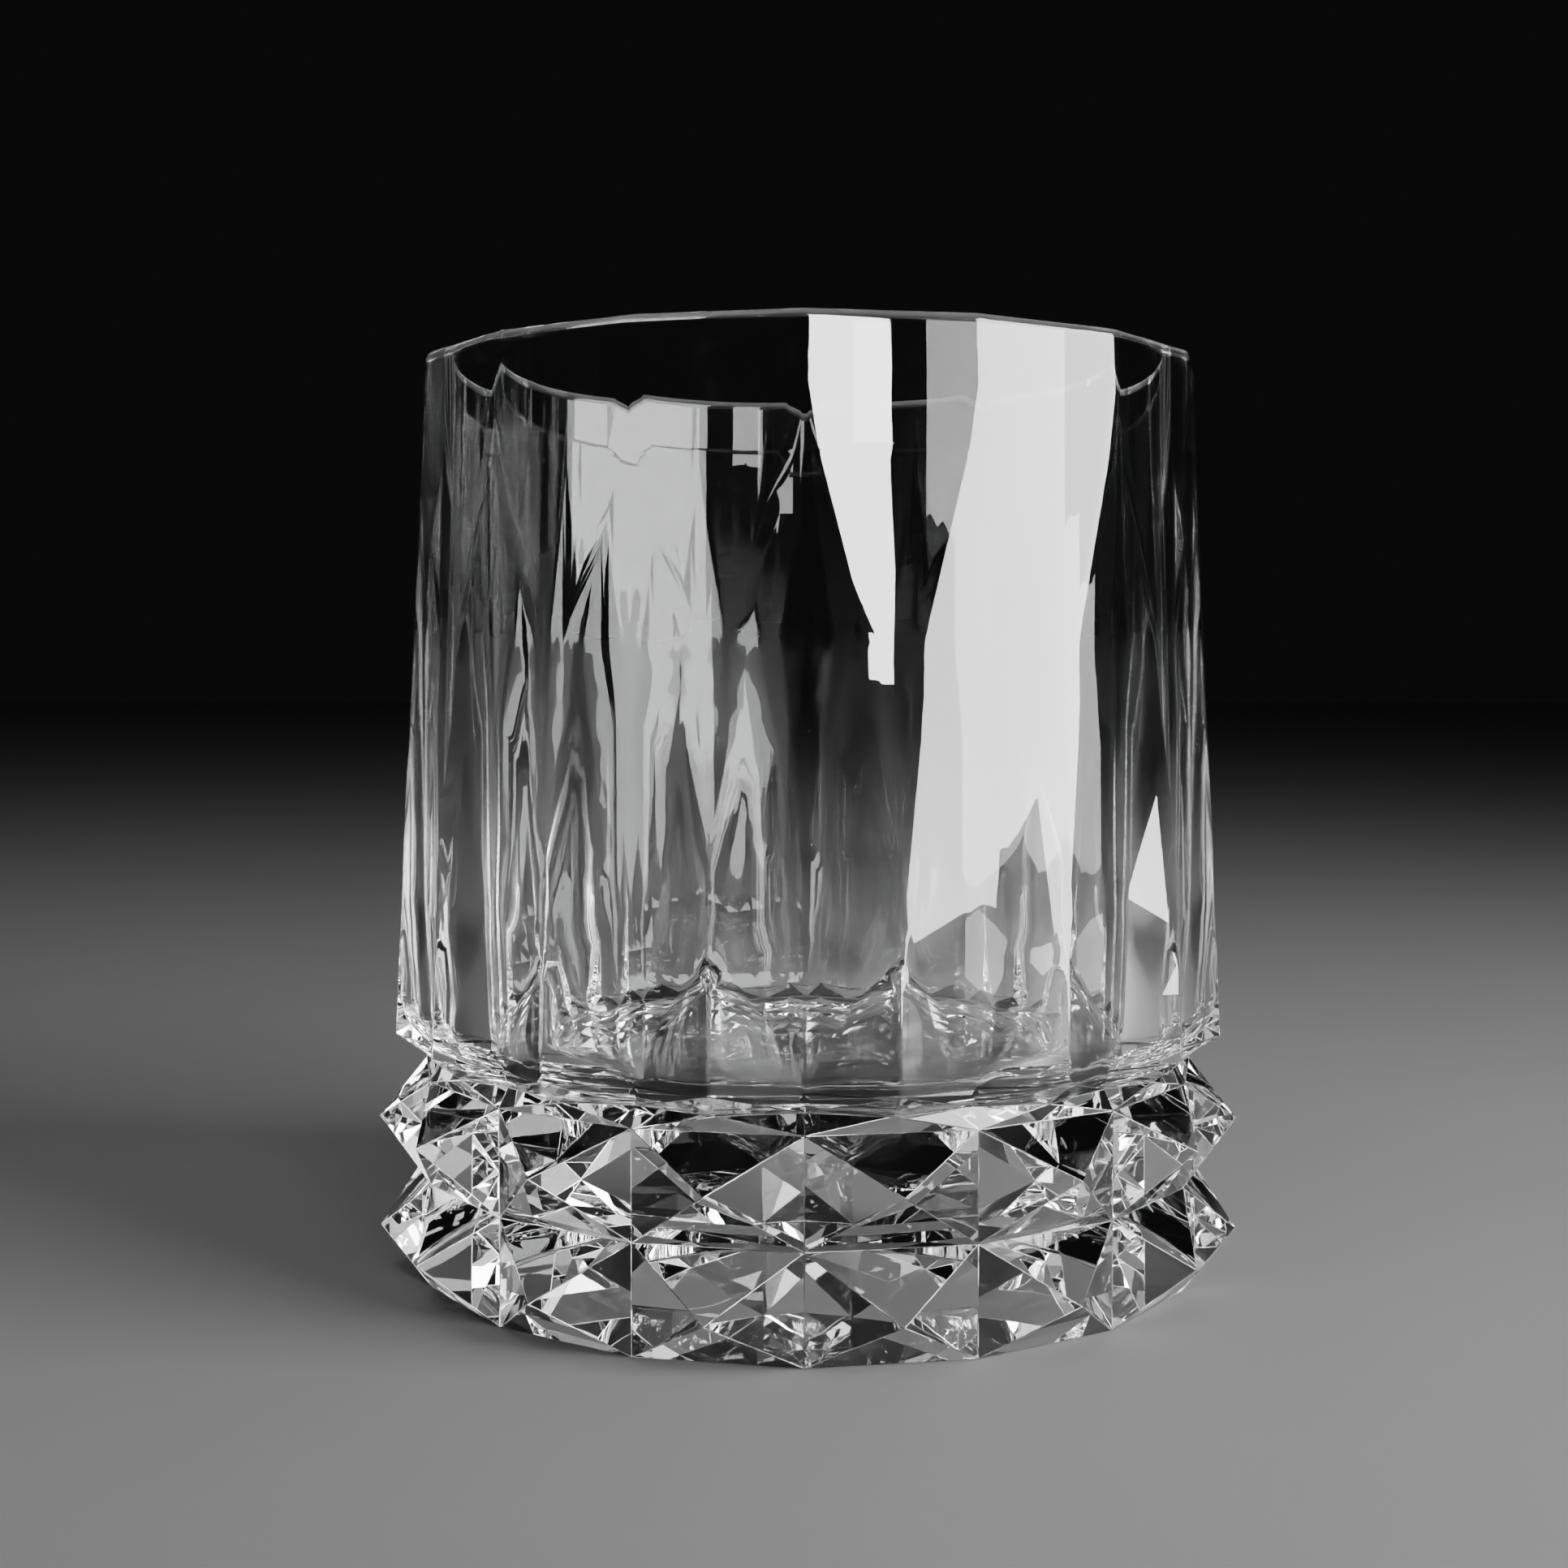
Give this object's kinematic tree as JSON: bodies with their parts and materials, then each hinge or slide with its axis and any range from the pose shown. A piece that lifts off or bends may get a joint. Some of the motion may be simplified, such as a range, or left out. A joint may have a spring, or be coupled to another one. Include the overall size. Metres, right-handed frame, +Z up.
{
  "type": "whiskey tumbler",
  "caption": "Short clear pressed-glass tumbler with a faceted flared body, a thick base and a foot of pointed diamonds, for holding a drink.",
  "frame": {"origin": "centre of the flat underside the glass stands on", "axes": "+Z up along the axis of the glass, with the sixteen-fold pattern standing with one corner of the foot towards -Y"},
  "size_m": [0.0898, 0.0898, 0.095],
  "materials": {
    "clear_glass": "fire-polished clear soda-lime glass, sharp pressed facets, smooth inside"
  },
  "bodies": {
    "root": {"tumbler": "clear_glass"}
  },
  "joints": []
}
